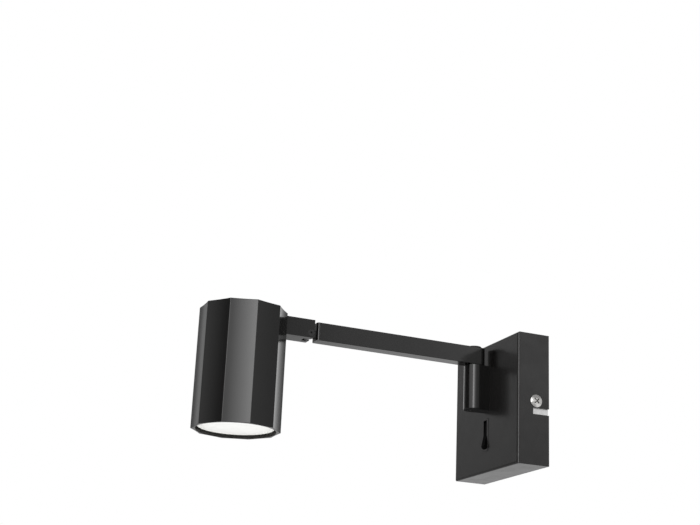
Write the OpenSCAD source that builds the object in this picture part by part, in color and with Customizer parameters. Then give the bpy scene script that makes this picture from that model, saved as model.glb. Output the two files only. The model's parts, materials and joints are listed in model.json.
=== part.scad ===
// Wall reading lamp: a square wall cover with a rocker switch, a swinging arm on a fixed post,
// a short tilting link and a ten-sided lamp head for a GU10 lamp.
// The origin is the centre of the wall face. The wall is the plane y = 0, the lamp reaches
// out along -Y, +X is to the right and +Z is up. Sizes are in millimetres.

/* [Wall cover] */
// Side of the square cover
cover_side = 90; // [86:1:110]
// Depth of the cover from the wall to its front face
cover_depth = 24; // [22:0.5:32]
// Thickness of the cover's sheet
cover_wall = 1.2; // [1:0.1:2]
// Length of the notch in each side wall, from the wall edge
notch_length = 12.2; // [8:0.1:14]
// Height of the notch
notch_height = 4.4; // [3:0.1:6]
// Height of the notch's middle above the cover's middle
notch_z = -8.4; // [-10:0.1:-7.5]

/* [Side screws] */
// Distance of the side screws from the wall
side_screw_reach = 10; // [9:0.1:12]
// Height of the side screws above the cover's middle
side_screw_z = -1.7; // [-2:0.1:1]
// Diameter of the side screws' heads
side_head_d = 8.6; // [7:0.1:9.6]
// Height of the side screws' heads
side_head_h = 1.3; // [1:0.1:3]
// Length of the side screws' shanks
side_shank_length = 6; // [5:0.5:10]

/* [Wall bracket] */
// Thickness of the bracket's sheet
bracket_sheet = 1.5; // [1:0.1:2]
// Height of the bracket's plate
bracket_height = 56; // [50:1:58]
// Height of the bracket's bent ears
ear_height = 25; // [23:1:28]
// Reach of the ears from the wall
ear_reach = 18; // [15:0.5:20]
// Gap between an ear and the cover's side wall
ear_gap = 0.3; // [0.1:0.05:0.5]
// Distance between the two wall screws
wall_hole_spacing = 60; // [56:1:62]
// Width of the wall screws' slots
wall_slot_width = 5.2; // [4:0.1:6]
// Length of the wall screws' slots, end to end
wall_slot_length = 9; // [7:0.5:12]
// Diameter of the hole for the supply cable
cable_hole_d = 16; // [12:1:20]

/* [Terminals] */
// Pitch of the terminal block's poles
pole_pitch = 10; // [8:0.5:10.5]
// Number of poles
pole_count = 3; // [2:1:3]
// Height of the terminal block
block_height = 12; // [10:0.5:14]
// Depth of the terminal block
block_depth = 11; // [9:0.5:12]

/* [Switch] */
// Height of the rocker's axis above the cover's middle
switch_z = -19; // [-22:0.5:-18.5]
// Width of the rocker
rocker_width = 4.4; // [4:0.1:8]
// Radius that the rocker's ends sweep
rocker_sweep = 9.9; // [9:0.1:10]
// Radius of the rocker's round ends
rocker_end_r = 1.8; // [1.4:0.1:2]
// Slope of each half of the rocker's face, in degrees
rocker_slope = 4; // [2:0.5:6]
// Half of the rocker's travel, in degrees
rocker_tilt = 8; // [5:0.5:9]
// Width of the switch frame's border around the rocker
frame_border = 1.6; // [1.4:0.1:2.5]
// Corner radius of the switch frame
frame_corner_r = 1.5; // [1:0.1:1.6]
// Height of the switch frame above the cover
frame_proud = 0.3; // [0.2:0.1:1]
// Depth of the switch body behind the cover's front
switch_depth = 12.5; // [11:0.5:14]

/* [Post] */
// Width of the post
post_width = 14; // [12:0.5:18]
// Distance from the cover's front to the pivot axis
post_reach = 9.6; // [9.2:0.1:14]
// Height of the post's foot above the cover's middle
post_foot_z = -2.7; // [-4:0.1:-1]
// Length of the post
post_length = 31.5; // [30:0.5:36]
// Diameter of the pivot tube
pivot_d = 6; // [5.5:0.1:6.4]
// Bore of the pivot tube
pivot_bore_d = 4.2; // [3.4:0.1:4.4]
// Thickness of the washer between the post and the arm
post_washer = 0.3; // [0.2:0.05:0.6]
// Diameter of the cap on top of the pivot
cap_d = 9.8; // [8:0.1:11]
// Thickness of that cap
cap_h = 0.9; // [0.6:0.1:2]

/* [Arm] */
// Width of the arm tube
arm_width = 9.9; // [9.5:0.1:12]
// Height of the arm tube
arm_height = 12.3; // [11.9:0.1:13.5]
// Wall of the arm tube
arm_wall = 1; // [0.8:0.05:1.2]
// Distance from the pivot axis to the arm's outer end
arm_length = 120.8; // [60:0.1:250]
// Distance from the pivot axis to the tip of the arm's half-round back end
arm_tail_r = 7.6; // [6.5:0.1:8]
// Thickness of the end plug's flange
plug_flange = 1.8; // [1.5:0.1:3]
// Length of the end plug inside the tube
plug_length = 12; // [8:0.5:20]

/* [Tilt hinge] */
// Distance from the arm's outer end to the tilt axis
tilt_reach = 5.1; // [4.8:0.1:8]
// Depth of the tilt axis below the arm's middle
tilt_drop = 2.45; // [2.3:0.05:2.6]
// Thickness of the tongue
tongue_thickness = 4.4; // [4.2:0.1:5]
// Radius of the tongue's round end
tongue_r = 3.3; // [3.1:0.1:3.4]
// Depth of the tongue's neck below the tilt axis
neck_drop = 1.6; // [1.4:0.1:3]
// Diameter of the tilt screw
tilt_screw_d = 2.5; // [2:0.1:2.6]
// Diameter of the tilt screw's flush head and of its round nut
tilt_head_d = 4.6; // [4.2:0.1:4.8]
// Thickness of the friction washers beside the tongue
tilt_washer = 0.45; // [0.3:0.05:0.6]

/* [Link] */
// Width of the link
link_width = 14.2; // [13.8:0.1:18]
// Height of the link
link_height = 12.5; // [12.3:0.1:14]
// Height of the link's middle above the swivel axis
link_rise = 0.35; // [0.25:0.05:0.5]
// Distance from the tilt axis to the link's end by the arm
link_tail = 2.5; // [2.4:0.1:3]
// Distance from the tilt axis to the link's end by the head
link_reach = 17.9; // [16:0.1:30]
// Radius of the link's rounded lower corner
link_corner_r = 1.2; // [0.8:0.1:3]

/* [Head] */
// Number of flat sides of the head
head_sides = 10; // [10:2:12]
// Diameter across the head's corners
head_across = 58; // [57.5:0.1:66]
// Length of the head
head_length = 80.6; // [78:0.2:110]
// Distance from the swivel axis up to the head's top
head_rise = 7.85; // [7.75:0.05:12]
// Bore of the head
head_bore_d = 52; // [51:0.1:52.4]
// Thickness of the head's closed top
head_top = 2; // [1.5:0.1:3]
// Diameter of the swivel nipple
nipple_d = 7; // [6.6:0.1:8]
// Bore of the swivel nipple
nipple_bore_d = 5; // [4.8:0.1:5.2]

/* [Lamp] */
// Diameter of the lamp
lamp_d = 49.8; // [45:0.1:50]
// Diameter of the lamp's front glass
lens_d = 49; // [40:0.1:49.2]
// Depth of the lamp's face inside the head's rim
lamp_recess = 2.2; // [1:0.1:6]
// Length of the lamp without its pins
lamp_length = 47; // [44:0.5:48]
// Distance between the lamp's pins
pin_spacing = 10; // [10:0.1:10.4]
// Length of the lamp's pins
pin_length = 7.5; // [6:0.1:8]

/* [Clearances] */
// Radial clearance of a shaft in its bore
fit = 0.05; // [0.02:0.01:0.08]
// Clearance between pieces that slide past each other
slide = 0.1; // [0.05:0.01:0.12]
// Clearance of a screw or lead in a plain hole
clear = 0.2; // [0.15:0.05:0.3]

/* [Hidden] */
$fn = 64;

// Colours
black_finish = [0.06, 0.06, 0.06];
zinc = [0.78, 0.79, 0.8];
nickel = [0.85, 0.84, 0.82];
brass = [0.8, 0.65, 0.3];
white_plastic = [0.93, 0.92, 0.88];

// Cover and bracket
front_y = -cover_depth;
inner_y = front_y + cover_wall;
side_x = cover_side / 2;
inner_x = side_x - cover_wall;
ear_x = inner_x - ear_gap;
plate_y = -bracket_sheet;
slot_r = wall_slot_width / 2;
m4_r = 2;
pan_r = 3.5;
pan_h = 2.6;
screw_slot = 1;

// Terminals, on the bracket's plate
block_length = pole_pitch * pole_count;
block_x = -27;
block_z = 12;
block_front_y = plate_y - block_depth;
terminal_screw_r = 1.8;
cable_hole_x = 19;
cable_hole_z = 15;
earth_x = 20;
earth_z = -20;
ring_t = 0.8;

// Switch
rocker_face = 1.3;
rocker_axis_y = front_y + 1;
pocket_half = rocker_sweep + slide;
pocket_width = rocker_width + 2 * slide;
frame_width = pocket_width + 2 * frame_border;
frame_half = pocket_half + frame_border;
body_wall = 1;
switch_body_width = pocket_width + 2 * body_wall;
switch_body_half = pocket_half + body_wall;
pocket_depth = 5;
trunnion_r = 0.8;
tab_height = 5;

// Post and pivot
post_r = post_width / 2;
pivot_y = front_y - post_reach;
post_top_z = post_foot_z + post_length;
pivot_r = pivot_d / 2;
pivot_bore_r = pivot_bore_d / 2;
channel_z = post_foot_z + post_length / 2;
channel_r = 2.6;
pivot_tube_foot_z = channel_z + channel_r + 2;
post_screw_depth = 5.6;
post_screw_low_z = post_foot_z + 5.2;
post_screw_high_z = post_top_z - 5;
grommet_r = 3.4;
grommet_flange = 1;

// Arm
arm_z = post_top_z + post_washer + slide;
arm_top_z = arm_z + arm_height;
arm_mid_z = arm_z + arm_height / 2;
arm_half = arm_width / 2;
arm_end_y = pivot_y - arm_length;
tube_end_y = arm_end_y + plug_flange;
bush_length = 14;
bush_front_y = pivot_y - bush_length / 2;
window_r = 1.8;
lead_r = 0.65;
lead_slack = 0.1;

// Tilt hinge, link and head
tilt_y = arm_end_y - tilt_reach;
tilt_z = arm_mid_z - tilt_drop;
swivel_z = arm_mid_z;
tilt_r = tilt_screw_d / 2;
tilt_head_r = tilt_head_d / 2;
tilt_nut_h = 2.4;
tilt_washer_r = tongue_r - 0.3;
tongue_half = tongue_thickness / 2;
groove_half = 2 * lead_r + 0.25;
groove_low_z = tilt_z + tilt_r + 0.4;
groove_high_z = groove_low_z + 2 * (lead_r + lead_slack);
groove_mid_z = (groove_low_z + groove_high_z) / 2;
slot_half = tongue_half + tilt_washer + slide;
hinge_r = tongue_r + clear;
slot_floor_y = tilt_y - hinge_r;
link_mid_z = swivel_z + link_rise;
link_low_z = link_mid_z - link_height / 2;
link_high_z = link_mid_z + link_height / 2;
link_half = link_width / 2;
link_near_y = tilt_y + link_tail;
link_far_y = tilt_y - link_reach;
nipple_r = nipple_d / 2;
nipple_bore_r = nipple_bore_d / 2;
nipple_seat = 7;
nipple_y = link_far_y + nipple_seat;
head_r = head_across / 2;
head_flat = head_r * cos(180 / head_sides);
head_y = link_far_y - slide - head_flat;
head_high_z = swivel_z + head_rise;
head_low_z = head_high_z - head_length;
head_bore_r = head_bore_d / 2;
head_roof_z = head_high_z - head_top;
pad_r = 7;
pad_y = head_y + head_flat - 2.6;
swivel_washer_r = 5.6;
swivel_washer_h = 0.6;
swivel_nut_r = 5.6;
swivel_nut_h = 3;
swivel_nut_y = pad_y - slide - swivel_washer_h - slide;
nipple_end_y = swivel_nut_y - swivel_nut_h - 0.7;

// Lamp and its holder
lens_z = head_low_z + lamp_recess;
lens_t = 1.2;
lens_r = lens_d / 2;
lamp_r = lamp_d / 2;
lamp_neck_r = 15;
lamp_base_r = 13;
lamp_base_z = lens_z + lamp_length;
pin_x = pin_spacing / 2;
pin_r = 1.6;
pin_head_r = 2.4;
pin_head_h = 2.6;
holder_z = lamp_base_z + clear;
holder_h = 14;
holder_r = 13.5;
holder_flat = 9.5;
holder_top_z = holder_z + holder_h;
strap_t = 1.2;
strap_width = 9;
strap_x = 12.5;
holder_hole_x = 8;
wire_hole_x = 4;
wire_hole_y = 7.5;
boss_x = 18;
boss_r = 3.4;
boss_z = head_roof_z - 6;
foot_z = boss_z - strap_t;
m3_r = 1.5;
m3_head_r = 2.75;
m3_head_h = 1.8;

// A bar along Y
module bar_y(r, y_back, y_front) {
    translate([0, y_back, 0])
        rotate([90, 0, 0])
            cylinder(r = r, h = y_back - y_front);
}

// A bar along X
module bar_x(r, x_left, x_right) {
    translate([x_left, 0, 0])
        rotate([0, 90, 0])
            cylinder(r = r, h = x_right - x_left);
}

// A block from its lowest to its highest corner
module block(low, high) {
    translate(low)
        cube(high - low);
}

// An upright plate in XZ with round corners, from y_back forward to y_front
module plate(half_width, half_height, corner_r, y_back, y_front) {
    corner_x = half_width - corner_r;
    corner_z = half_height - corner_r;
    block([-corner_x, y_front, -half_height], [corner_x, y_back, half_height]);
    block([-half_width, y_front, -corner_z], [half_width, y_back, corner_z]);
    for (x = [-corner_x, corner_x], z = [-corner_z, corner_z])
        translate([x, 0, z])
            bar_y(corner_r, y_back, y_front);
}

// An insulated lead that follows its points in straight lengths with a round knee at each bend
module lead(points, r) {
    for (i = [0 : len(points) - 2]) {
        step = points[i + 1] - points[i];
        span = norm(step);
        translate(points[i])
            rotate([0, acos(step[2] / span), atan2(step[1], step[0])]) {
                cylinder(r = r, h = span);
                if (i < len(points) - 2)
                    translate([0, 0, span])
                        sphere(r = r + 0.12, $fn = 32);
            }
    }
}

// A screw along +Z with its head below the origin plane and a slot in the head
module slotted_screw(shank_r, shank_length, screw_head_r, screw_head_h, slot_width) {
    cylinder(r = shank_r, h = shank_length);
    difference() {
        translate([0, 0, -screw_head_h])
            cylinder(r = screw_head_r, h = screw_head_h);
        for (turn = [0, 90])
            rotate([0, 0, turn])
                translate([-screw_head_r * 0.6, -slot_width / 2, -screw_head_h - 1])
                    cube([screw_head_r * 1.2, slot_width, screw_head_h / 2 + 1]);
    }
}

// The square cover, open towards the wall
module box_cover() {
    color(black_finish)
        difference() {
            block([-side_x, front_y, -side_x], [side_x, 0, side_x]);
            block([-inner_x, inner_y, -inner_x], [inner_x, 1, inner_x]);
            for (side = [-1, 1]) {
                translate([side * side_x, -side_screw_reach, side_screw_z])
                    bar_x(m4_r + clear, -2 * cover_wall, 2 * cover_wall);
                translate([side * side_x, 0, notch_z])
                    block([-2 * cover_wall, -notch_length, -notch_height / 2],
                          [2 * cover_wall, 1, notch_height / 2]);
            }
            for (z = [post_screw_low_z, post_screw_high_z])
                translate([0, 0, z])
                    bar_y(m4_r + clear, inner_y + 1, front_y - 1);
            translate([0, 0, channel_z])
                bar_y(grommet_r + fit, inner_y + 1, front_y - 1);
            translate([0, 0, switch_z])
                block([-switch_body_width / 2 - slide, front_y - 1, -switch_body_half - slide],
                      [switch_body_width / 2 + slide, inner_y + 1, switch_body_half + slide]);
        }
}

// The zinc-plated bracket: a plate with two slots and a cable hole, and two bent ears
module wall_bracket() {
    color(zinc)
        difference() {
            union() {
                block([-ear_x, plate_y, -bracket_height / 2], [ear_x, 0, bracket_height / 2]);
                for (side = [-1, 1])
                    translate([side * (ear_x - bracket_sheet / 2), 0, side_screw_z])
                        block([-bracket_sheet / 2, -ear_reach, -ear_height / 2],
                              [bracket_sheet / 2, 0, ear_height / 2]);
            }
            for (side = [-1, 1]) {
                translate([side * wall_hole_spacing / 2, 0, 0]) {
                    for (end = [-1, 1])
                        translate([end * (wall_slot_length / 2 - slot_r), 0, 0])
                            bar_y(slot_r, 1, plate_y - 1);
                    block([slot_r - wall_slot_length / 2, plate_y - 1, -slot_r],
                          [wall_slot_length / 2 - slot_r, 1, slot_r]);
                }
                translate([side * ear_x, -side_screw_reach, side_screw_z])
                    bar_x(m4_r + fit, -2 * bracket_sheet, 2 * bracket_sheet);
            }
            translate([cable_hole_x, 0, cable_hole_z])
                bar_y(cable_hole_d / 2, 1, plate_y - 1);
            translate([earth_x, 0, earth_z])
                bar_y(m4_r + fit, 1, plate_y - 1);
        }
}

// The two screws that hold the cover on the bracket's ears
module side_screws() {
    color(nickel)
        for (side = [-1, 1])
            translate([side * side_x, -side_screw_reach, side_screw_z])
                rotate([0, -side * 90, 0])
                    slotted_screw(m4_r, side_shank_length, side_head_d / 2, side_head_h, screw_slot);
}

// The terminal block on the bracket's plate
module terminal_block() {
    color(white_plastic)
        difference() {
            block([block_x, block_front_y, block_z],
                  [block_x + block_length, plate_y, block_z + block_height]);
            for (pole = [0 : pole_count - 1])
                translate([block_x + (pole + 0.5) * pole_pitch, 0, block_z + block_height / 2]) {
                    bar_y(terminal_screw_r + clear, block_front_y + 5, block_front_y - 1);
                    translate([0, block_front_y + 5, -block_height / 2 - 1])
                        cylinder(r = 1.6, h = block_height + 2);
                }
        }
}

// The terminal block's clamping screws
module terminal_screws() {
    color(brass)
        for (pole = [0 : pole_count - 1])
            translate([block_x + (pole + 0.5) * pole_pitch, block_front_y + 1, block_z + block_height / 2])
                difference() {
                    bar_y(terminal_screw_r, 3, 0);
                    block([-terminal_screw_r - 1, -1, -0.3], [terminal_screw_r + 1, 0.7, 0.3]);
                }
}

// The earth screw in the bracket's plate
module earth_screw() {
    color(brass)
        translate([earth_x, plate_y - ring_t, earth_z])
            rotate([-90, 0, 0])
                slotted_screw(m4_r, bracket_sheet + ring_t, pan_r, pan_h, screw_slot);
}

// The ring terminal under the earth screw, with its crimped barrel
module earth_ring() {
    color(zinc)
        translate([earth_x, 0, earth_z])
            difference() {
                union() {
                    bar_y(pan_r + 0.4, plate_y, plate_y - ring_t);
                    block([-1.6, plate_y - ring_t, 0], [1.6, plate_y, 7]);
                    translate([0, plate_y - 1.6, 6])
                        cylinder(r = 1.6, h = 6);
                }
                bar_y(m4_r + fit, 1, plate_y - 3);
                translate([0, plate_y - 1.6, 7])
                    cylinder(r = lead_r + clear, h = 6);
            }
}

// The earth lead from the ring to the block's last pole
module earth_lead() {
    color([0.5, 0.65, 0.15])
        lead([[earth_x, plate_y - 1.6, earth_z + 8], [earth_x, plate_y - 1.6, -4],
              [8, block_front_y + 5, 4],
              [block_x + (pole_count - 0.5) * pole_pitch, block_front_y + 5, 9],
              [block_x + (pole_count - 0.5) * pole_pitch, block_front_y + 5, block_z + 4]], lead_r);
}

// The switch's body and frame, with the rocker's pocket
module switch_body() {
    color(black_finish)
        translate([0, 0, switch_z])
            difference() {
                union() {
                    plate(frame_width / 2, frame_half, frame_corner_r, front_y, front_y - frame_proud);
                    block([-switch_body_width / 2, front_y, -switch_body_half],
                          [switch_body_width / 2, front_y + switch_depth, switch_body_half]);
                }
                block([-pocket_width / 2, front_y - 2, -pocket_half],
                      [pocket_width / 2, front_y + pocket_depth, pocket_half]);
                translate([0, rocker_axis_y, 0])
                    bar_x(trunnion_r + fit, -switch_body_width / 2 + 0.3, switch_body_width / 2 - 0.3);
            }
}

// The switch's two blade terminals
module switch_tabs() {
    color(nickel)
        for (z = [-5, 5])
            translate([-1.4, front_y + switch_depth, switch_z + z - 0.4])
                cube([2.8, tab_height, 0.8]);
}

// The rocker: two flats that meet over its axis, round ends and two trunnions
module rocker() {
    end_reach = rocker_sweep - rocker_end_r;
    end_turn = rocker_slope + asin((rocker_face * cos(rocker_slope) - rocker_end_r) / end_reach);
    end_y = -end_reach * sin(end_turn);
    end_z = end_reach * cos(end_turn);
    brow_y = end_y - rocker_end_r * cos(rocker_slope);
    brow_z = end_z - rocker_end_r * sin(rocker_slope);
    color(black_finish)
        translate([0, rocker_axis_y, switch_z])
            rotate([-rocker_tilt, 0, 0]) {
                rotate([90, 0, 90])
                    translate([0, 0, -rocker_width / 2])
                        linear_extrude(height = rocker_width) {
                            polygon([[-rocker_face, 0], [brow_y, brow_z], [end_y, end_z], [2.2, 2.5],
                                     [2.2, -2.5], [end_y, -end_z], [brow_y, -brow_z]]);
                            for (end = [-1, 1])
                                translate([end_y, end * end_z])
                                    circle(r = rocker_end_r);
                        }
                bar_x(trunnion_r, -switch_body_width / 2 + 0.5, switch_body_width / 2 - 0.5);
            }
}

// The post that carries the arm, with the pivot's bore, the lead's channel and screw holes
module hinge_post() {
    color(black_finish)
        difference() {
            translate([0, 0, post_foot_z]) {
                translate([0, pivot_y, 0])
                    cylinder(r = post_r, h = post_length);
                block([-post_r, pivot_y, 0], [post_r, front_y, post_length]);
            }
            translate([0, pivot_y, pivot_tube_foot_z])
                cylinder(r = pivot_r + fit, h = post_length);
            translate([0, pivot_y, channel_z])
                cylinder(r = pivot_bore_r, h = post_length);
            translate([0, 0, channel_z])
                bar_y(channel_r, front_y + 1, pivot_y - pivot_bore_r - clear);
            for (z = [post_screw_low_z, post_screw_high_z])
                translate([0, 0, z])
                    bar_y(m4_r + fit, front_y + 1, front_y - post_screw_depth - clear);
        }
}

// The two screws that hold the post from inside the cover
module post_screws() {
    color(zinc)
        for (z = [post_screw_low_z, post_screw_high_z])
            translate([0, inner_y, z])
                rotate([90, 0, 0])
                    slotted_screw(m4_r, cover_wall + post_screw_depth, pan_r, pan_h, screw_slot);
}

// The sleeve that guards the leads where they leave the cover
module lead_grommet() {
    color([0.15, 0.15, 0.15])
        translate([0, 0, channel_z])
            difference() {
                union() {
                    bar_y(grommet_r, inner_y, front_y + slide);
                    bar_y(grommet_r + grommet_flange, inner_y + grommet_flange, inner_y);
                }
                bar_y(channel_r, inner_y + 2, front_y - 1);
            }
}

// The hollow pivot tube, with a window for the leads into the arm
module pivot_tube() {
    color(zinc)
        difference() {
            translate([0, pivot_y, pivot_tube_foot_z])
                cylinder(r = pivot_r, h = arm_top_z - slide - pivot_tube_foot_z);
            translate([0, pivot_y, pivot_tube_foot_z - 1])
                cylinder(r = pivot_bore_r, h = arm_top_z + 2 - pivot_tube_foot_z);
            translate([0, 0, arm_mid_z - 0.5])
                bar_y(window_r, pivot_y, pivot_y - 2 * pivot_r);
        }
}

// The cap that closes the pivot tube and keeps the arm down
module pivot_cap() {
    color(black_finish)
        translate([0, pivot_y, arm_top_z + fit]) {
            cylinder(r = cap_d / 2, h = cap_h);
            translate([0, 0, -3])
                cylinder(r = pivot_bore_r - fit, h = 3 + cap_h / 2);
        }
}

// The low-friction washer between the post and the arm
module post_washer() {
    color(white_plastic)
        translate([0, pivot_y, post_top_z])
            difference() {
                cylinder(r = arm_half - 0.2, h = post_washer);
                translate([0, 0, -1])
                    cylinder(r = pivot_r + fit, h = post_washer + 2);
            }
}

// The leads in the cover: supply to switch, switch to post and neutral to post
module box_leads() {
    pole_y = block_front_y + 5;
    tab_y = front_y + switch_depth + tab_height;
    color([0.15, 0.15, 0.17]) {
        lead([[block_x + 0.5 * pole_pitch, pole_y, block_z + 4], [block_x + 0.5 * pole_pitch, pole_y, 6],
              [-14, tab_y - 1, -6], [-1, tab_y - 1, switch_z + 5 + 1.1]], lead_r);
        lead([[-1, tab_y - 1, switch_z - 5 + 1.1], [9, tab_y - 1, switch_z + 2], [12, tab_y - 4, 2],
              [1, inner_y + 4, channel_z - 1], [1, front_y, channel_z - 1],
              [1, pivot_y, channel_z - 1], [1, pivot_y, arm_mid_z - 1]], lead_r);
        lead([[block_x + 1.5 * pole_pitch, pole_y, block_z + 4], [block_x + 1.5 * pole_pitch, pole_y, 9],
              [-1, inner_y + 5, channel_z - 2], [-1, front_y, channel_z - 1],
              [-1, pivot_y, channel_z - 1], [-1, pivot_y, arm_mid_z - 1]], lead_r);
    }
}

// The arm's outline from above: straight sides and a half-round back end
module arm_outline(half, tail_r, end_y) {
    tail_y = pivot_y + tail_r - half;
    translate([-half, end_y])
        square([2 * half, tail_y - end_y]);
    translate([0, tail_y])
        circle(r = half);
}

// The rectangular arm tube, open at its outer end
module arm_tube() {
    color(black_finish)
        difference() {
            translate([0, 0, arm_z])
                linear_extrude(height = arm_height)
                    arm_outline(arm_half, arm_tail_r, tube_end_y);
            translate([0, 0, arm_z + arm_wall])
                linear_extrude(height = arm_height - 2 * arm_wall)
                    arm_outline(arm_half - arm_wall, arm_tail_r - arm_wall, tube_end_y - 1);
            translate([0, pivot_y, arm_z - 1])
                cylinder(r = pivot_r + fit, h = arm_height + 2);
        }
}

// The bearing block inside the arm's back end, with a passage for the leads
module arm_bush() {
    color([0.75, 0.75, 0.72])
        difference() {
            translate([0, 0, arm_z + arm_wall + fit])
                linear_extrude(height = arm_height - 2 * arm_wall - 2 * fit)
                    arm_outline(arm_half - arm_wall - fit, arm_tail_r - arm_wall - fit, bush_front_y);
            translate([0, pivot_y, arm_z - 1])
                cylinder(r = pivot_r + fit, h = arm_height + 2);
            translate([0, 0, arm_mid_z - 0.5])
                bar_y(window_r, pivot_y, bush_front_y - 1);
        }
}

// The plug in the arm's outer end: a flange with rounded upright edges and the hinge's tongue,
// which has a groove over the tilt screw for the leads
module arm_plug() {
    plug_half = arm_half - arm_wall - fit;
    plug_low = arm_z + arm_wall + fit;
    plug_high = arm_top_z - arm_wall - fit;
    color(black_finish)
        difference() {
            union() {
                block([-plug_half, tube_end_y, plug_low], [plug_half, tube_end_y + plug_length, plug_high]);
                block([plug_flange - arm_half, arm_end_y, arm_z],
                      [arm_half - plug_flange, tube_end_y, arm_top_z]);
                intersection() {
                    block([-arm_half, arm_end_y, arm_z], [arm_half, tube_end_y, arm_top_z]);
                    for (side = [-1, 1])
                        translate([side * (arm_half - plug_flange), tube_end_y, arm_z])
                            cylinder(r = plug_flange, h = arm_height);
                }
                block([-tongue_half, tilt_y, tilt_z - neck_drop],
                      [tongue_half, tube_end_y, tilt_z + tongue_r]);
                translate([0, tilt_y, tilt_z])
                    bar_x(tongue_r, -tongue_half, tongue_half);
            }
            translate([0, tilt_y, tilt_z])
                bar_x(tilt_r + fit, -tongue_half - 1, tongue_half + 1);
            block([-groove_half, arm_end_y - 1, groove_low_z],
                  [groove_half, tube_end_y + plug_length + 1, groove_high_z]);
            block([-groove_half, slot_floor_y, groove_low_z], [groove_half, arm_end_y, arm_top_z]);
        }
}

// The two leads inside the arm, through the plug and side by side over the tilt screw
module arm_leads() {
    rest_z = arm_z + arm_wall + lead_r + clear;
    plug_back_y = tube_end_y + plug_length;
    groove_lead_x = lead_r + 0.15;
    color([0.15, 0.15, 0.17])
        for (side = [-1, 1])
            lead([[side, bush_front_y + 3, arm_mid_z - 0.5], [side, bush_front_y - 2, arm_mid_z - 0.5],
                  [side * 2, bush_front_y - 12, rest_z], [side * 2, plug_back_y + 14, rest_z],
                  [side * groove_lead_x, plug_back_y + 3, groove_mid_z],
                  [side * groove_lead_x, tilt_y - 1, groove_mid_z]], lead_r);
}

// The link: a block with a slot for the tongue, open below and towards the arm, and a seat for
// the nipple
module link_body() {
    corner_y = link_near_y - link_corner_r;
    corner_z = link_low_z + link_corner_r;
    countersink_h = tilt_head_r - tilt_r;
    color(black_finish)
        difference() {
            union() {
                block([-link_half, link_far_y, link_low_z], [link_half, corner_y, link_high_z]);
                block([-link_half, corner_y - 1, corner_z], [link_half, link_near_y, link_high_z]);
                translate([0, corner_y, corner_z])
                    bar_x(link_corner_r, -link_half, link_half);
            }
            block([-slot_half, slot_floor_y, link_low_z - 1], [slot_half, link_near_y + 1, tilt_z]);
            block([-slot_half, tilt_y, link_low_z - 1], [slot_half, link_near_y + 1, tilt_z + hinge_r]);
            translate([0, tilt_y, tilt_z]) {
                bar_x(hinge_r, -slot_half, slot_half);
                bar_x(tilt_r + fit, -link_half - 1, link_half + 1);
                translate([link_half - countersink_h, 0, 0])
                    rotate([0, 90, 0])
                        cylinder(r1 = tilt_r + fit, r2 = tilt_head_r + fit, h = countersink_h);
                bar_x(tilt_head_r + fit, -link_half - 1, tilt_nut_h - link_half);
            }
            translate([0, 0, swivel_z]) {
                bar_y(nipple_r + fit, nipple_y, link_far_y - 1);
                bar_y(nipple_bore_r, slot_floor_y + 1, link_far_y);
            }
        }
}

// The tilt screw, countersunk flush with the link's side
module tilt_screw() {
    countersink_h = tilt_head_r - tilt_r;
    color(black_finish)
        translate([0, tilt_y, tilt_z])
            difference() {
                union() {
                    bar_x(tilt_r, 1 - link_half, link_half - countersink_h);
                    translate([link_half - countersink_h, 0, 0])
                        rotate([0, 90, 0])
                            cylinder(r1 = tilt_r, r2 = tilt_head_r, h = countersink_h);
                }
                translate([link_half - 0.8, 0, 0])
                    rotate([0, 90, 0])
                        cylinder(r = 0.9, h = 2, $fn = 6);
            }
}

// The round slotted nut sunk in the link's other side
module tilt_nut() {
    color(black_finish)
        translate([-link_half, tilt_y, tilt_z])
            difference() {
                bar_x(tilt_head_r, 0, tilt_nut_h);
                bar_x(tilt_r + fit, -1, tilt_nut_h + 1);
                block([-1, -tilt_head_d, -0.4], [0.7, tilt_head_d, 0.4]);
            }
}

// The friction washers on both sides of the tongue
module tilt_washers() {
    color(brass)
        for (side = [-1, 1])
            translate([side * (slot_half - tilt_washer / 2), tilt_y, tilt_z])
                difference() {
                    bar_x(tilt_washer_r, -tilt_washer / 2, tilt_washer / 2);
                    bar_x(tilt_r + fit, -tilt_washer, tilt_washer);
                }
}

// The hollow nipple that the head turns on
module swivel_nipple() {
    color(zinc)
        translate([0, 0, swivel_z])
            difference() {
                bar_y(nipple_r, nipple_y, nipple_end_y);
                bar_y(nipple_bore_r, nipple_y + 1, nipple_end_y - 1);
            }
}

// The nut on the nipple inside the head
module swivel_nut() {
    color(zinc)
        translate([0, swivel_nut_y, swivel_z])
            difference() {
                rotate([90, 0, 0])
                    cylinder(r = swivel_nut_r, h = swivel_nut_h, $fn = 6);
                bar_y(nipple_r + fit, 1, -swivel_nut_h - 1);
            }
}

// The two leads through the nipple
module link_leads() {
    color([0.15, 0.15, 0.17])
        for (side = [-1, 1])
            lead([[side * (nipple_bore_r - lead_r - clear), slot_floor_y, swivel_z],
                  [side * (nipple_bore_r - lead_r - clear), nipple_end_y + 0.5, swivel_z]], lead_r);
}

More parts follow.
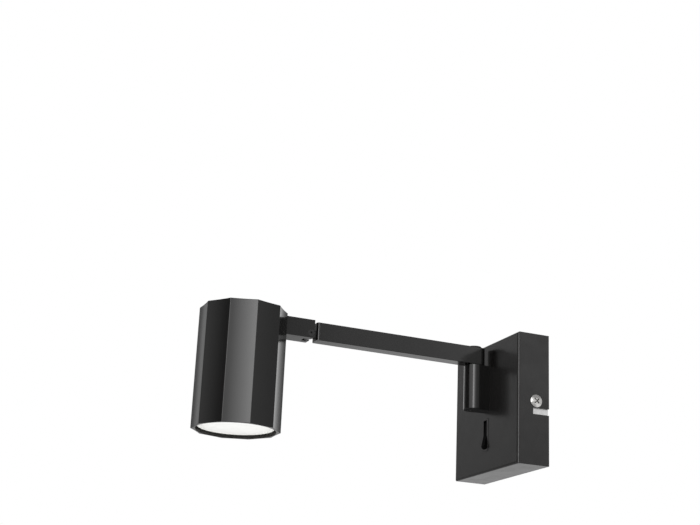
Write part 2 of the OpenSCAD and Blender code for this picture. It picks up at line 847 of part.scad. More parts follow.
// The ten-sided head, bored from below, with a flat pad for the swivel and two screw bosses
module head_shell() {
    color(black_finish)
        difference() {
            translate([0, head_y, head_low_z])
                rotate([0, 0, 90 - 180 / head_sides])
                    cylinder(r = head_r, h = head_length, $fn = head_sides);
            difference() {
                translate([0, head_y, head_low_z - 1])
                    cylinder(r = head_bore_r, h = head_length - head_top + 1);
                translate([0, 0, swivel_z])
                    intersection() {
                        bar_y(pad_r, head_y + head_r, pad_y);
                        block([-pad_r, pad_y, -pad_r], [pad_r, head_y + head_r, head_roof_z - swivel_z]);
                    }
                for (side = [-1, 1])
                    translate([side * boss_x, head_y, boss_z])
                        cylinder(r = boss_r, h = head_roof_z - boss_z + 1);
            }
            translate([0, 0, swivel_z])
                bar_y(nipple_r + fit, head_y + head_r, pad_y - 1);
            for (side = [-1, 1])
                translate([side * boss_x, head_y, boss_z - 1])
                    cylinder(r = m3_r + fit, h = 6);
        }
}

// The friction washer between the head's wall and the nut
module swivel_washer() {
    color(brass)
        translate([0, pad_y - slide, swivel_z])
            difference() {
                bar_y(swivel_washer_r, 0, -swivel_washer_h);
                bar_y(nipple_r + fit, 1, -swivel_washer_h - 1);
            }
}

// The ceramic GU10 holder with its two pin sockets
module lamp_holder() {
    color(white_plastic)
        translate([0, head_y, holder_z])
            difference() {
                intersection() {
                    cylinder(r = holder_r, h = holder_h);
                    translate([-holder_r, -holder_flat, 0])
                        cube([2 * holder_r, 2 * holder_flat, holder_h]);
                }
                for (side = [-1, 1]) {
                    translate([side * pin_x, 0, -1])
                        cylinder(r = pin_head_r + clear, h = pin_length + 1.5);
                    translate([side * holder_hole_x, 0, holder_h - 4])
                        cylinder(r = m3_r + fit, h = 5);
                    translate([side * wire_hole_x, wire_hole_y, holder_h - 3])
                        cylinder(r = lead_r + fit, h = 4);
                }
            }
}

// The strap that hangs the holder from the head's bosses
module holder_bracket() {
    color(zinc)
        difference() {
            translate([0, head_y, 0])
                union() {
                    block([-strap_x, -strap_width / 2, holder_top_z],
                          [strap_x, strap_width / 2, holder_top_z + strap_t]);
                    for (side = [-1, 1]) {
                        translate([side * (strap_x - strap_t / 2), 0, 0])
                            block([-strap_t / 2, -strap_width / 2, holder_top_z],
                                  [strap_t / 2, strap_width / 2, boss_z]);
                        translate([side * (strap_x + boss_x + boss_r) / 2, 0, 0])
                            block([-(boss_x + boss_r - strap_x) / 2 - 0.5, -strap_width / 2, foot_z],
                                  [(boss_x + boss_r - strap_x) / 2, strap_width / 2, boss_z]);
                    }
                }
            for (side = [-1, 1]) {
                translate([side * boss_x, head_y, foot_z - 1])
                    cylinder(r = m3_r + clear, h = strap_t + 2);
                translate([side * holder_hole_x, head_y, holder_top_z - 1])
                    cylinder(r = m3_r + clear, h = strap_t + 2);
            }
        }
}

// The four small screws of the strap: two into the head, two into the holder
module holder_screws() {
    color(zinc)
        for (side = [-1, 1]) {
            translate([side * boss_x, head_y, foot_z])
                slotted_screw(m3_r, strap_t + 4, m3_head_r, m3_head_h, 0.8);
            translate([side * holder_hole_x, head_y, holder_top_z + strap_t])
                rotate([180, 0, 0])
                    slotted_screw(m3_r, strap_t + 3.5, m3_head_r, m3_head_h, 0.8);
        }
}

// The lamp's body: a rim, a reflector cone, a neck and a base
module lamp_body() {
    rim_h = 5;
    color(white_plastic)
        translate([0, head_y, 0])
            difference() {
                rotate_extrude()
                    polygon([[0, lens_z + lens_t], [lens_r + fit, lens_z + lens_t], [lens_r + fit, lens_z],
                             [lamp_r, lens_z], [lamp_r, lens_z + rim_h], [lamp_neck_r, lamp_base_z - 14],
                             [lamp_base_r, lamp_base_z - 11], [lamp_base_r, lamp_base_z],
                             [0, lamp_base_z]]);
                for (side = [-1, 1])
                    translate([side * pin_x, 0, lamp_base_z - 3])
                        cylinder(r = pin_r + fit, h = 4);
            }
}

// The lamp's opal front
module lamp_lens() {
    color([0.98, 0.98, 0.94])
        translate([0, head_y, lens_z])
            cylinder(r = lens_r, h = lens_t);
}

// The lamp's two twist-lock pins
module lamp_pins() {
    color(nickel)
        for (side = [-1, 1])
            translate([side * pin_x, head_y, lamp_base_z]) {
                translate([0, 0, -2.8])
                    cylinder(r = pin_r, h = pin_length + 2.8);
                translate([0, 0, pin_length - pin_head_h])
                    cylinder(r = pin_head_r, h = pin_head_h);
            }
}

// The two leads from the nipple to the holder
module head_leads() {
    color([0.15, 0.15, 0.17])
        for (side = [-1, 1])
            lead([[side * (nipple_bore_r - lead_r - clear), nipple_end_y - 0.1, swivel_z],
                  [side * 2.8, nipple_end_y - 3.6, swivel_z - 1.2],
                  [side * wire_hole_x, head_y + wire_hole_y, holder_top_z + 4],
                  [side * wire_hole_x, head_y + wire_hole_y, holder_top_z - 2.5]], lead_r);
}

box_cover();
wall_bracket();
side_screws();
terminal_block();
terminal_screws();
earth_screw();
earth_ring();
earth_lead();
switch_body();
switch_tabs();
rocker();
hinge_post();
post_screws();
lead_grommet();
pivot_tube();
pivot_cap();
post_washer();
box_leads();
arm_tube();
arm_bush();
arm_plug();
arm_leads();
link_body();
tilt_screw();
tilt_nut();
tilt_washers();
swivel_nipple();
swivel_nut();
link_leads();
head_shell();
swivel_washer();
lamp_holder();
holder_bracket();
holder_screws();
lamp_body();
lamp_lens();
lamp_pins();
head_leads();
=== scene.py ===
import bmesh
import bpy
import json
import math

import numpy as np
from mathutils import Matrix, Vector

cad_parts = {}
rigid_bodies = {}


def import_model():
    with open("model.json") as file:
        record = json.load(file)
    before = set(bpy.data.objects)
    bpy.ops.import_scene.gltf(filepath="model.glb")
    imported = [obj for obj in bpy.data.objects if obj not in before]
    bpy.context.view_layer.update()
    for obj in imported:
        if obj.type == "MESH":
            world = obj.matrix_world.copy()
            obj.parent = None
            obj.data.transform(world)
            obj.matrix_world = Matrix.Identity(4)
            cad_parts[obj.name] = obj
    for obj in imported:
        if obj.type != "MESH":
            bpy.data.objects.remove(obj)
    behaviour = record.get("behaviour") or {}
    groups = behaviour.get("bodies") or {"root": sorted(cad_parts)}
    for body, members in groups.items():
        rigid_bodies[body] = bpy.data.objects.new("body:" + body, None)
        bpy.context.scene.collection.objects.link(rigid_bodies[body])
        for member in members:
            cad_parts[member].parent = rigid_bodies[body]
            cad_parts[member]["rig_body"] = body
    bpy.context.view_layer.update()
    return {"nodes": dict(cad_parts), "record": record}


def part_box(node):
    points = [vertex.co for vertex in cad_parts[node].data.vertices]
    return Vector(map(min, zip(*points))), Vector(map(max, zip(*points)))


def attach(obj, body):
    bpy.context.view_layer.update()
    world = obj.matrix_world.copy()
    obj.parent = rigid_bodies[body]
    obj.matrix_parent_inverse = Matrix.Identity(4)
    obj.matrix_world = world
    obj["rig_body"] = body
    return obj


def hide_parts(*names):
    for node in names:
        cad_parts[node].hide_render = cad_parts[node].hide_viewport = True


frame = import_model()
node = frame["nodes"]
MM = 0.001
TURN = 2 * math.pi


# ---------------------------------------------------------------- where things are, in mm

def span(name):
    """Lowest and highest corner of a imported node, in millimetres."""
    low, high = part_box(name)
    return np.array(low) / MM, np.array(high) / MM


cover_low, cover_high = span("box_cover")
post_low, post_high = span("hinge_post")
head_low, head_high = span("head_shell")
lens_low, lens_high = span("lamp_lens")
screw_low, screw_high = span("side_screws")


# ---------------------------------------------------------------- meshes

def smooth(mesh, sharp):
    """Smooth shading, parted at the edges that turn by more than an angle in degrees."""
    mesh.polygons.foreach_set("use_smooth", [True] * len(mesh.polygons))
    mesh.set_sharp_from_angle(angle=math.radians(sharp))


def add_piece(name, mesh, body, slot):
    """Links a mesh as an object at the origin, with its body. The slot is not used."""
    piece = bpy.data.objects.new(name, mesh)
    bpy.context.scene.collection.objects.link(piece)
    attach(piece, body)
    return piece


def mesh_piece(name, points, faces, body, slot, sharp=40):
    """A new piece from points in millimetres and faces, merged and turned outwards."""
    mesh = bpy.data.meshes.new(name)
    mesh.from_pydata((points * MM).tolist(), [], faces)
    work = bmesh.new()
    work.from_mesh(mesh)
    bmesh.ops.remove_doubles(work, verts=work.verts, dist=1e-7)
    bmesh.ops.recalc_face_normals(work, faces=work.faces)
    work.to_mesh(mesh)
    work.free()
    smooth(mesh, sharp)
    return add_piece(name, mesh, body, slot)


def level_flats(piece):
    """Shades a piece by its larger faces, so that a flat stays flat up to its rounded edge."""
    flats = piece.modifiers.new("level flats", "WEIGHTED_NORMAL")
    flats.keep_sharp = True
    flats.weight = 100


def closed_skin(rows):
    """Points and faces of a grid, rows x columns x 3. Each row is a closed loop, the loops
    follow each other, and the first and the last have shrunk to one point."""
    count, columns, _ = rows.shape
    grid = np.arange(count * columns).reshape(count, columns)
    right = np.roll(grid, -1, axis=1)
    quads = np.stack([grid[:-1], right[:-1], right[1:], grid[1:]], axis=-1)
    return rows.reshape(-1, 3), quads.reshape(-1, 4).tolist()


def stacked(loops, levels):
    """Rows of a skin: flat loops of x and y, each lifted to its level."""
    loops = np.stack(loops)
    rise = np.broadcast_to(np.array(levels)[:, None, None], loops.shape[:2] + (1,))
    return np.concatenate([loops, rise], axis=2)


def rounded_edge(radius, steps=4):
    """Inset and height along a quarter circle, from inset = radius at height 0 to inset 0 at
    height = radius."""
    angle = np.linspace(0, math.pi / 2, steps + 1)
    return radius * (1 - np.sin(angle)), radius * (1 - np.cos(angle))


def dressed(source, name, slot, width, soft=None, angle=25):
    """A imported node's own shape with broken edges: its copy is merged, its flats joined into
    whole faces, and a bevel of the width rounds each edge that turns by more than the angle in
    degrees. soft is a pair: a wider round, and a test that picks the edges for it by their
    middle in millimetres."""
    mesh = node[source].data.copy()
    if "custom_normal" in mesh.attributes:
        mesh.attributes.remove(mesh.attributes["custom_normal"])
    work = bmesh.new()
    work.from_mesh(mesh)
    bmesh.ops.remove_doubles(work, verts=work.verts, dist=1e-6)
    bmesh.ops.dissolve_limit(work, angle_limit=math.radians(0.3),
                             verts=work.verts, edges=work.edges)
    if soft:
        round_width, is_soft = soft
        wide = [edge for edge in work.edges if edge.calc_face_angle(0) > 1
                and is_soft((edge.verts[0].co + edge.verts[1].co) / 2 / MM)]
        bmesh.ops.bevel(work, geom=wide, offset=round_width * MM, offset_type="OFFSET",
                        segments=8, profile=0.5, affect="EDGES", clamp_overlap=False)
    weight = work.edges.layers.float.new("bevel_weight_edge")
    for edge in work.edges:
        edge[weight] = float(edge.calc_face_angle(0) > math.radians(angle))
    work.to_mesh(mesh)
    work.free()
    smooth(mesh, angle)
    piece = add_piece(name, mesh, node[source]["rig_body"], slot)
    bevel = piece.modifiers.new("broken edges", "BEVEL")
    bevel.width = width * MM
    bevel.segments = 3
    bevel.limit_method = "WEIGHT"
    bevel.use_clamp_overlap = soft is None
    level_flats(piece)
    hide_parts(source)
    return piece


# ---------------------------------------------------------------- materials

class Finish:
    """A node material on Object coordinates, built step by step."""

    def __init__(self, name):
        self.material = bpy.data.materials.new(name)
        self.material.use_nodes = True
        self.nodes = self.material.node_tree.nodes
        self.links = self.material.node_tree.links
        self.shader = self.nodes["Principled BSDF"]
        self.place = self.nodes.new("ShaderNodeTexCoord").outputs["Object"]

    def set(self, **values):
        """Plain values on the shader's own sockets."""
        for key, value in values.items():
            self.shader.inputs[key.replace("_", " ")].default_value = value
        return self

    def noise(self, scale, detail=3):
        """Noise of a given scale per metre."""
        texture = self.nodes.new("ShaderNodeTexNoise")
        texture.inputs["Scale"].default_value = scale
        texture.inputs["Detail"].default_value = detail
        self.links.new(self.place, texture.inputs["Vector"])
        return texture.outputs["Fac"]

    def between(self, value, low, high):
        """A colour that fades from low to high as a value goes from 0.3 to 0.7."""
        ramp = self.nodes.new("ShaderNodeValToRGB")
        for element, place, colour in zip(ramp.color_ramp.elements, (0.3, 0.7), (low, high)):
            element.position = place
            element.color = (*colour, 1)
        self.links.new(value, ramp.inputs["Fac"])
        return ramp.outputs["Color"]

    def spread(self, value, low, high, start=0.3, end=0.7):
        """A value between start and end, spread over low to high."""
        change = self.nodes.new("ShaderNodeMapRange")
        for key, number in zip(("From Min", "From Max", "To Min", "To Max"),
                               (start, end, low, high)):
            change.inputs[key].default_value = number
        self.links.new(value, change.inputs["Value"])
        return change.outputs["Result"]

    def feed(self, socket, value):
        """Links a value to one of the shader's sockets."""
        self.links.new(value, self.shader.inputs[socket])
        return self

    def bump(self, height, distance):
        """A bump whose full height is a distance in millimetres."""
        bump = self.nodes.new("ShaderNodeBump")
        bump.inputs["Distance"].default_value = distance * MM
        bump.inputs["Strength"].default_value = 1.0
        self.links.new(height, bump.inputs["Height"])
        self.links.new(bump.outputs["Normal"], self.shader.inputs["Normal"])
        return self


def shades(colour, *shares):
    """A colour made darker and lighter by shares of itself."""
    return [tuple(c * share for c in colour) for share in shares]


def paint(name, colour, rough):
    """Sprayed black enamel: nearly even, with a faint cloudiness and a fine orange peel."""
    finish = Finish(name)
    finish.feed("Base Color", finish.between(finish.noise(45), *shades(colour, 0.8, 1.2)))
    finish.feed("Roughness", finish.spread(finish.noise(120, 4), rough * 0.92, rough * 1.08))
    finish.bump(finish.noise(1400, 2), 0.002)
    return finish.material


def moulded(name, colour, rough, shine=0.5):
    """Moulded or dull material with a fine even grain; shine is its specular level."""
    finish = Finish(name).set(Specular_IOR_Level=shine)
    finish.feed("Base Color", finish.between(finish.noise(70), *shades(colour, 0.92, 1.06)))
    finish.feed("Roughness", finish.spread(finish.noise(200, 4), rough * 0.9, rough * 1.1))
    finish.bump(finish.noise(2500, 2), 0.004)
    return finish.material


def metal(name, colour, rough, scale=500, depth=0.002):
    """Plated or plain metal with fine marks in its colour and its surface."""
    finish = Finish(name).set(Metallic=1.0)
    marks = finish.noise(scale, 4)
    finish.feed("Base Color", finish.between(marks, *shades(colour, 0.9, 1.05)))
    finish.feed("Roughness", finish.spread(finish.noise(150, 4), rough * 0.85, rough * 1.2))
    finish.bump(marks, depth)
    return finish.material


def opal(name):
    """The lamp's opal front: milky white with a soft mottle."""
    finish = Finish(name).set(Roughness=0.35)
    finish.feed("Base Color", finish.between(finish.noise(60), (0.94, 0.94, 0.91),
                                             (0.97, 0.97, 0.95)))
    finish.bump(finish.noise(1500, 2), 0.003)
    return finish.material


ENAMEL = paint("black enamel", (0.003, 0.0029, 0.0028), 0.15)
COVER_ENAMEL = paint("black cover enamel", (0.0034, 0.003, 0.0029), 0.25)
SCREW_BLACK = paint("blackened steel", (0.012, 0.012, 0.012), 0.36)
PLASTIC_BLACK = moulded("black switch plastic", (0.0034, 0.003, 0.0029), 0.24)
ROCKER_BLACK = moulded("black rocker plastic", (0.0015, 0.0015, 0.0015), 0.6, 0.03)
INNER_BLACK = moulded("satin black inside coat", (0.024, 0.0228, 0.0206), 0.6, 0.2)
GROMMET = moulded("black grommet rubber", (0.02, 0.02, 0.02), 0.6)
LEAD_BLACK = moulded("black lead sleeve", (0.015, 0.015, 0.018), 0.35)
LEAD_EARTH = moulded("green and yellow lead", (0.3, 0.42, 0.05), 0.35)
PLASTIC_WHITE = moulded("white terminal plastic", (0.8, 0.79, 0.74), 0.4)
PLASTIC_GREY = moulded("grey bearing plastic", (0.5, 0.5, 0.48), 0.4)
CERAMIC = moulded("glazed ceramic", (0.82, 0.8, 0.74), 0.18)
LAMP_BODY = moulded("white lamp body", (0.85, 0.85, 0.82), 0.3)
ZINC = metal("zinc plating", (0.84, 0.84, 0.84), 0.34, 260, 0.004)
NICKEL = metal("nickel plating", (0.88, 0.87, 0.85), 0.26)
# Darker nickel for the screws' cross recess: painted shade where the recess lies in shadow.
NICKEL_PAINTED_SHADE = metal("nickel with painted shade in the recess", (0.26, 0.25, 0.24), 0.4)
BRASS = metal("plain brass", (0.72, 0.5, 0.2), 0.3)
OPAL = opal("opal lamp front")

FINISH_OF_SLOT = {
    "black_box": COVER_ENAMEL, "black_gloss": ENAMEL, "black_plastic": PLASTIC_BLACK,
    "black_screw": SCREW_BLACK, "zinc": ZINC, "nickel": NICKEL, "brass": BRASS,
    "grey_plastic": PLASTIC_GREY, "white_plastic": PLASTIC_WHITE, "ceramic": CERAMIC,
    "lead_black": LEAD_BLACK, "lead_earth": LEAD_EARTH, "grommet": GROMMET,
    "lamp_white": LAMP_BODY, "lamp_opal": OPAL}


def put_on(piece, *finishes):
    """Gives a piece its finishes, in the order of its material indices."""
    piece.data.materials.clear()
    for finish in finishes:
        piece.data.materials.append(finish)


for entry in frame["record"]["subparts"]:
    put_on(node[entry["node"]], FINISH_OF_SLOT[entry["material_slot"]])


# ---------------------------------------------------------------- head

HEAD_MIDDLE = (head_low[:2] + head_high[:2]) / 2


def ten_sided(across_flats, corner, hollow, first):
    """A regular ten-sided loop in millimetres, as a function of its inset: each side bows in by
    the hollow as a parabola, and an arc of the corner's radius joins it to the next. first is
    the direction of the first side, in degrees."""
    half_turn = math.pi / 10
    along = np.linspace(-1, 1, 9)
    corner_steps = 9

    def outline(inset):
        apothem = across_flats / 2 - inset
        radius = max(corner - inset, 0.05)
        reach = (apothem - radius) / math.cos(half_turn)
        half_side = (apothem - radius) * math.tan(half_turn)
        swing = half_turn + math.atan2(2 * hollow, half_side)
        out = apothem - hollow * (1 - along ** 2)
        shift = along * half_side
        points = []
        for side in range(10):
            normal = math.radians(first) + 2 * half_turn * side
            points.append(np.stack([out * math.cos(normal) - shift * math.sin(normal),
                                    out * math.sin(normal) + shift * math.cos(normal)], axis=1))
            turn = normal + half_turn
            way = np.linspace(-swing, swing, corner_steps)[1:-1] + turn
            points.append(np.stack([reach * math.cos(turn) + radius * np.cos(way),
                                    reach * math.sin(turn) + radius * np.sin(way)], axis=1))
        return np.concatenate(points) + HEAD_MIDDLE
    return outline


def head_shell():
    """The head: the ten-sided loop carried up from the rim, with rounded rims, a round bore from
    below and a closed top."""
    bottom, top = head_low[2], head_high[2]
    corner, hollow, first_side = 0.6, 0.35, 90
    upper_rim, lower_rim = 0.45, 0.2
    bore, bore_rim, roof, roof_edge = 26.0, 0.3, 2.0, 1.0
    outline = ten_sided(head_high[1] - head_low[1], corner, hollow, first_side)
    way = outline(0) - HEAD_MIDDLE
    way /= np.linalg.norm(way, axis=1)[:, None]
    point = np.broadcast_to(HEAD_MIDDLE, way.shape)

    def circle(radius):
        return HEAD_MIDDLE + radius * way

    loops = [point, circle(bore - roof_edge), circle(bore)]
    levels = [top - roof, top - roof, top - roof - roof_edge]
    inset, height = rounded_edge(upper_rim)
    for share in height[::-1] / upper_rim:
        loops.append(circle(bore + bore_rim * (1 - share)))
        levels.append(bottom + bore_rim * share)
    for i, h in zip(*rounded_edge(lower_rim)):
        loops.append(outline(i))
        levels.append(bottom + h)
    for i, h in zip(inset[::-1], height[::-1]):
        loops.append(outline(i))
        levels.append(top - h)
    points, faces = closed_skin(stacked(loops + [point], levels + [top]))
    piece = mesh_piece("head_skin", points, faces, "head", "black_gloss", sharp=60)
    put_on(piece, ENAMEL, INNER_BLACK)
    for face in piece.data.polygons:
        reach = np.hypot(*(np.array(face.center[:2]) / MM - HEAD_MIDDLE))
        face.material_index = int(reach < bore + 0.05 and face.center[2] / MM < top - 0.1)
    level_flats(piece)
    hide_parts("head_shell")


head_shell()


# ---------------------------------------------------------------- post

def post_skin():
    """The post: a round front whose flat sides draw in a little towards the cover, carried up
    from its foot, with rounded rims and a flat top and foot."""
    rim, draw_in = 0.35, 9
    radius, back_y = post_high[0], post_high[1]
    pivot_y = post_low[1] + radius
    slope = math.radians(draw_in)
    foot_x = radius * math.cos(slope) - (back_y - pivot_y) * math.tan(slope)

    def outline(inset):
        angle = np.radians(np.linspace(draw_in, -180 - draw_in, 65))
        front = (radius - inset) * np.stack([np.cos(angle), np.sin(angle)], axis=1)
        foot = np.linspace(-1, 1, 5)[:, None] * [foot_x - inset, 0]
        return np.concatenate([front + [0, pivot_y], foot + [0, back_y]])

    inset, height = rounded_edge(rim)
    insets = np.concatenate([inset, inset[::-1]])
    levels = np.concatenate([post_low[2] + height, post_high[2] - height[::-1]])
    end = outline(rim)
    point = np.broadcast_to(end.mean(axis=0), end.shape)
    rows = stacked([point] + [outline(i) for i in insets] + [point],
                   [levels[0], *levels, levels[-1]])
    piece = mesh_piece("post_skin", *closed_skin(rows), "wall_box", "black_gloss")
    put_on(piece, ENAMEL)
    level_flats(piece)
    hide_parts("hinge_post")


post_skin()


# ---------------------------------------------------------------- bodies with broken edges

def is_cover_rim(middle):
    """Whether an edge of the cover is one of the four around its front face."""
    at_front = middle.y < cover_low[1] + 0.1
    return at_front and max(abs(middle.x), abs(middle.z)) > cover_high[0] - 0.1


for source, name, slot, finish, width, soft in (
        ("box_cover", "cover_skin", "black_box", COVER_ENAMEL, 0.15, (1.5, is_cover_rim)),
        ("arm_tube", "arm_skin", "black_gloss", ENAMEL, 0.4, None),
        ("arm_plug", "arm_end", "black_gloss", ENAMEL, 0.3, None),
        ("link_body", "link_skin", "black_gloss", ENAMEL, 0.4, None),
        ("pivot_cap", "pivot_lid", "black_gloss", ENAMEL, 0.3, None),
        ("switch_body", "switch_frame", "black_plastic", PLASTIC_BLACK, 0.15, None),
        ("rocker", "rocker_key", "black_plastic", ROCKER_BLACK, 0.3, None),
        ("wall_bracket", "bracket_sheet", "zinc", ZINC, 0.2, None)):
    put_on(dressed(source, name, slot, width, soft), finish)


# ---------------------------------------------------------------- side screws and lamp front

def cover_screws():
    """The two domed screws in the cover's sides: a profile turned about X, whose dome is a
    parabola on a low rim, with a cross pressed into it."""
    middle = (screw_low + screw_high) / 2
    head_r = (screw_high[1] - screw_low[1]) / 2
    face_x = cover_high[0]
    dome, rim, rim_step = screw_high[0] - face_x, 0.35, 0.2
    shank_r, shank_length = 2.0, 6
    slot_half, slot_side, cross_r, cross_end, depth = 0.42, 0.12, 2.3, 0.2, 0.75

    def dome_at(reach):
        return rim + (dome - rim) * (1 - (reach / head_r) ** 2)

    turns = np.linspace(0, TURN, 193)[:-1]
    dome_reach = np.linspace(0, 1, 40)[1:] * head_r
    reach = np.concatenate([dome_reach, [head_r, head_r - rim_step, shank_r, shank_r, 0.01]])
    across = np.stack([reach[:, None] * np.cos(turns), reach[:, None] * np.sin(turns)])
    from_arm = np.minimum(abs(across[0] + across[1]), abs(across[0] - across[1])) / math.sqrt(2)
    pressed = np.clip((slot_half - from_arm) / slot_side, 0, 1)
    pressed *= np.clip((cross_r - reach[:, None]) / cross_end, 0, 1)
    height = dome_at(reach)[:, None] - depth * pressed
    height[len(dome_reach):] = np.array([rim * 0.4, 0, 0, -shank_length, -shank_length])[:, None]
    points, faces = [], []
    for side in (-1, 1):
        start = sum(len(rows) for rows in points)
        grid = np.stack([side * (face_x + height), middle[1] + across[0],
                         middle[2] + across[1]], axis=-1)
        tip = [side * (face_x + dome_at(reach[0]) - depth), middle[1], middle[2]]
        ends = [np.broadcast_to(end, grid[:1].shape) for end in (tip, grid[-1].mean(axis=0))]
        rows, quads = closed_skin(np.concatenate([ends[0], grid, ends[1]]))
        points.append(rows)
        faces += [[corner + start for corner in quad] for quad in quads]
    piece = mesh_piece("cover_screws", np.concatenate(points), faces, "wall_box", "nickel",
                       sharp=50)
    put_on(piece, NICKEL, NICKEL_PAINTED_SHADE)
    # Faces pressed into the cross take the darker nickel: painted shade in the recess.
    for face in piece.data.polygons:
        out = abs(face.center.x) / MM - face_x
        reach = math.hypot(face.center.y / MM - middle[1], face.center.z / MM - middle[2])
        face.material_index = int(0 < reach < 2.4 and 0 < out < dome_at(reach) - 0.25)
    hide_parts("side_screws")


def lamp_front():
    """The lamp's opal front: a shallow dome turned about the head's axis, with a fine groove,
    a bell curve across, that parts its raised rim from its middle."""
    middle = (lens_low + lens_high) / 2
    radius = (lens_high[0] - lens_low[0]) / 2
    bulge, groove_r, groove_width, groove_depth, rim_step = 0.12, 22.2, 0.28, 0.28, 0.2
    reach = np.concatenate([np.linspace(0.01, 1, 60) * radius, [radius, 0.01]])
    level = lens_low[2] + bulge * (reach / radius) ** 2 + rim_step * (reach > groove_r)
    level += groove_depth * np.exp(-((reach - groove_r) / groove_width) ** 2)
    level[-2:] = lens_high[2]
    turns = np.linspace(0, TURN, 129)[:-1]
    grid = np.stack([middle[0] + reach[:, None] * np.cos(turns),
                     middle[1] + reach[:, None] * np.sin(turns),
                     np.broadcast_to(level[:, None], (len(reach), len(turns)))], axis=-1)
    ends = [np.broadcast_to(grid[i].mean(axis=0), grid[:1].shape) for i in (0, -1)]
    points, faces = closed_skin(np.concatenate([ends[0], grid, ends[1]]))
    piece = mesh_piece("lamp_front", points, faces, "head", "lamp_opal", sharp=60)
    put_on(piece, OPAL)
    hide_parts("lamp_lens")


cover_screws()
lamp_front()


# ---------------------------------------------------------------- room

# Azimuth in degrees, and the studio's level there high up and near the horizon
LIGHT_PLAN = (
    (-180, 0.12, 0.12), (-174, 0.22, 0.22), (-170, 0.55, 0.52), (-164, 0.56, 0.54),
    (-159, 0.3, 0.3), (-155, 0.22, 0.22), (-153.6, 1.05, 0.58), (-150.5, 0.7, 0.46),
    (-138, 0.1, 0.1), (-108, 0.07, 0.07), (-98, 0.12, 0.12), (-82, 0.72, 0.68),
    (-72, 1.4, 1.3), (-50, 1.6, 1.6), (-38, 1.9, 1.9), (-34.5, 7.0, 7.0), (-30, 8.0, 7.4),
    (-27, 5.2, 4.3), (-18, 3.2, 2.6), (-9, 1.15, 0.9), (4, 0.8, 0.6), (20, 0.37, 0.37),
    (22, 0.98, 0.96), (25, 1.0, 1.0), (27.8, 0.42, 0.42), (29.3, 2.5, 1.1), (31.5, 2.6, 1.1),
    (36, 0.4, 0.4), (50, 0.5, 0.5), (63, 0.6, 0.6), (119, 0.18, 0.18), (137, 1.3, 1.2))
BRIGHTEST = 8
# Heights on the sphere of directions, from -1 straight down to 1 straight up
HORIZON = (-0.02, 0.12)
LOW_TO_HIGH = (0.15, 0.27)
CEILING = (0.37, 0.52)
CEILING_LEVEL = 0.25
BELOW_HORIZON = 0.15


def light_plan():
    """World: plain white to the camera, an even level for matt surfaces, and for glossy ones the
    studio around the lamp by azimuth in degrees: a tall window of light on its right, dark cloths
    left and right of it, and a dark ceiling. Each azimuth's level fades between its two values."""
    world = bpy.data.worlds.new("studio")
    bpy.context.scene.world = world
    world.use_nodes = True
    nodes, links = world.node_tree.nodes, world.node_tree.links
    nodes.clear()

    def add(kind, **values):
        made = nodes.new(kind)
        for key, value in values.items():
            setattr(made, key, value)
        return made

    def put(socket, value):
        if isinstance(value, (int, float)):
            socket.default_value = value
        else:
            links.new(value, socket)

    def maths(operation, first, second):
        made = add("ShaderNodeMath", operation=operation)
        put(made.inputs[0], first)
        put(made.inputs[1], second)
        return made.outputs[0]

    def rising(value, heights, at_low, at_high):
        made = add("ShaderNodeMapRange", interpolation_type="SMOOTHSTEP")
        put(made.inputs["Value"], value)
        for key, number in zip(("From Min", "From Max", "To Min", "To Max"),
                               (*heights, at_low, at_high)):
            made.inputs[key].default_value = number
        return made.outputs[0]

    def choose(factor, first, second):
        made = add("ShaderNodeMix", data_type="FLOAT")
        put(made.inputs["Factor"], factor)
        put(made.inputs[2], first)
        put(made.inputs[3], second)
        return made.outputs[0]

    split = add("ShaderNodeSeparateXYZ")
    links.new(add("ShaderNodeTexCoord").outputs["Generated"], split.inputs[0])
    up = split.outputs["Z"]
    azimuth = maths("ARCTAN2", split.outputs["Y"], split.outputs["X"])
    ramp = add("ShaderNodeValToRGB")
    elements = ramp.color_ramp.elements
    while len(elements) < len(LIGHT_PLAN):
        elements.new(0.5)
    for element, (angle, high, low) in zip(elements, LIGHT_PLAN):
        element.position = (angle + 180) / 360
        element.color = (high / BRIGHTEST, low / BRIGHTEST, 0, 1)
    links.new(maths("ADD", maths("DIVIDE", azimuth, TURN), 0.5), ramp.inputs["Fac"])
    levels = add("ShaderNodeSeparateColor")
    links.new(ramp.outputs["Color"], levels.inputs[0])
    around = choose(rising(up, LOW_TO_HIGH, 0, 1), levels.outputs[1], levels.outputs[0])
    around = maths("MULTIPLY", around,
                   rising(up, HORIZON, BELOW_HORIZON * BRIGHTEST, BRIGHTEST))
    studio = choose(rising(up, CEILING, 0, 1), around, CEILING_LEVEL)
    rays = add("ShaderNodeLightPath").outputs
    seen = choose(rays["Is Glossy Ray"], 1.0, studio)
    direct = maths("MAXIMUM", rays["Is Camera Ray"], rays["Is Transmission Ray"])
    background = add("ShaderNodeBackground")
    background.inputs["Color"].default_value = (1, 1, 1, 1)
    links.new(choose(direct, seen, 1.0), background.inputs["Strength"])
    output = add("ShaderNodeOutputWorld")
    links.new(background.outputs[0], output.inputs["Surface"])


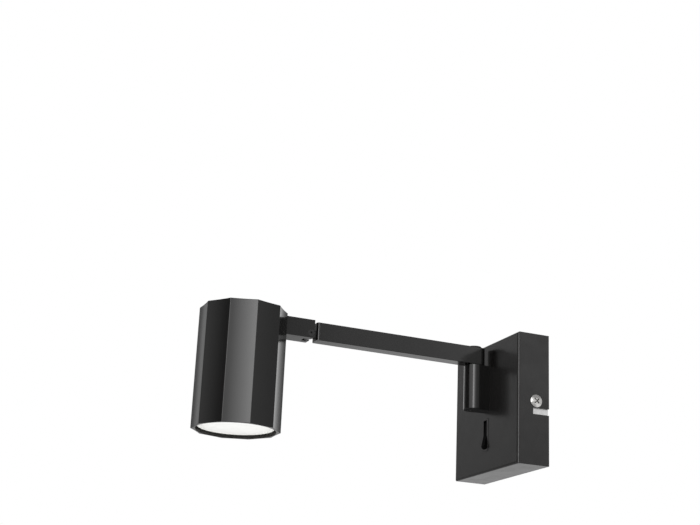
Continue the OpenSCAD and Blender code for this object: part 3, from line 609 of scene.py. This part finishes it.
def floor(height, reach):
    """A pale matt floor far below the lamp. To glossy surfaces it glows with a level that rises
    from a near line to a far line, both in metres towards the wall."""
    near, far, near_level, far_level = 0.6, 1.05, 0.34, 0.76
    mesh = bpy.data.meshes.new("floor")
    mesh.from_pydata([(-reach, -reach, height), (reach, -reach, height),
                      (reach, reach, height), (-reach, reach, height)], [], [(0, 1, 2, 3)])
    piece = bpy.data.objects.new("floor", mesh)
    bpy.context.scene.collection.objects.link(piece)
    finish = Finish("pale floor").set(Roughness=0.9)
    finish.feed("Base Color", finish.between(finish.noise(3), (0.98, 0.98, 0.98),
                                             (0.995, 0.995, 0.995)))
    place = finish.nodes.new("ShaderNodeSeparateXYZ")
    finish.links.new(finish.place, place.inputs[0])
    glow = finish.nodes.new("ShaderNodeEmission")
    level = finish.spread(place.outputs["Y"], near_level, far_level, near, far)
    finish.links.new(level, glow.inputs["Strength"])
    mixed = finish.nodes.new("ShaderNodeMixShader")
    rays = finish.nodes.new("ShaderNodeLightPath")
    finish.links.new(rays.outputs["Is Glossy Ray"], mixed.inputs["Fac"])
    finish.links.new(finish.shader.outputs["BSDF"], mixed.inputs[1])
    finish.links.new(glow.outputs["Emission"], mixed.inputs[2])
    finish.links.new(mixed.outputs["Shader"], finish.nodes["Material Output"].inputs["Surface"])
    put_on(piece, finish.material)


def softbox(name, azimuth, elevation, distance, size, power):
    """A rectangular studio lamp aimed at the object from a direction in degrees, unseen by the
    camera and by glossy surfaces, whose reflections come from the world."""
    aim = np.array([0, -0.11, 0])
    data = bpy.data.lights.new(name, "AREA")
    data.shape = "RECTANGLE"
    data.size, data.size_y = size
    data.energy = power
    lamp = bpy.data.objects.new(name, data)
    bpy.context.scene.collection.objects.link(lamp)
    a, e = math.radians(azimuth), math.radians(elevation)
    back = np.array([math.cos(e) * math.cos(a), math.cos(e) * math.sin(a), math.sin(e)])
    side = np.cross([0, 0, 1], back)
    side /= np.linalg.norm(side)
    columns = np.stack([side, np.cross(back, side), back, aim + back * distance], axis=1)
    lamp.matrix_world = Matrix([*columns.tolist(), [0, 0, 0, 1]])
    lamp.visible_camera = False
    lamp.visible_glossy = False


def camera():
    """The camera: its place in millimetres, where it looks in degrees, and its turn about
    that direction."""
    place = np.array([831.2, -471.3, -208.8]) * MM
    azimuth, elevation, roll = (math.radians(a) for a in (157.74, 18.34, 2.57))
    forward = np.array([math.cos(elevation) * math.cos(azimuth),
                        math.cos(elevation) * math.sin(azimuth), math.sin(elevation)])
    level = np.array([math.sin(azimuth), -math.cos(azimuth), 0])
    upright = np.cross(level, forward)
    right = math.cos(roll) * level + math.sin(roll) * upright
    up = math.cos(roll) * upright - math.sin(roll) * level
    data = bpy.data.cameras.new("camera")
    data.sensor_fit = "HORIZONTAL"
    data.sensor_width = 36
    data.lens = 70.565
    data.clip_start = 0.02
    data.clip_end = 50
    piece = bpy.data.objects.new("camera", data)
    bpy.context.scene.collection.objects.link(piece)
    columns = np.stack([right, up, -forward, place], axis=1)
    piece.matrix_world = Matrix([*columns.tolist(), [0, 0, 0, 1]])
    bpy.context.scene.camera = piece


light_plan()
floor(height=-0.7, reach=40)
softbox("key light", azimuth=-35, elevation=40, distance=1.6, size=(1.0, 1.2), power=17)
camera()
bpy.context.scene.view_settings.view_transform = "Standard"
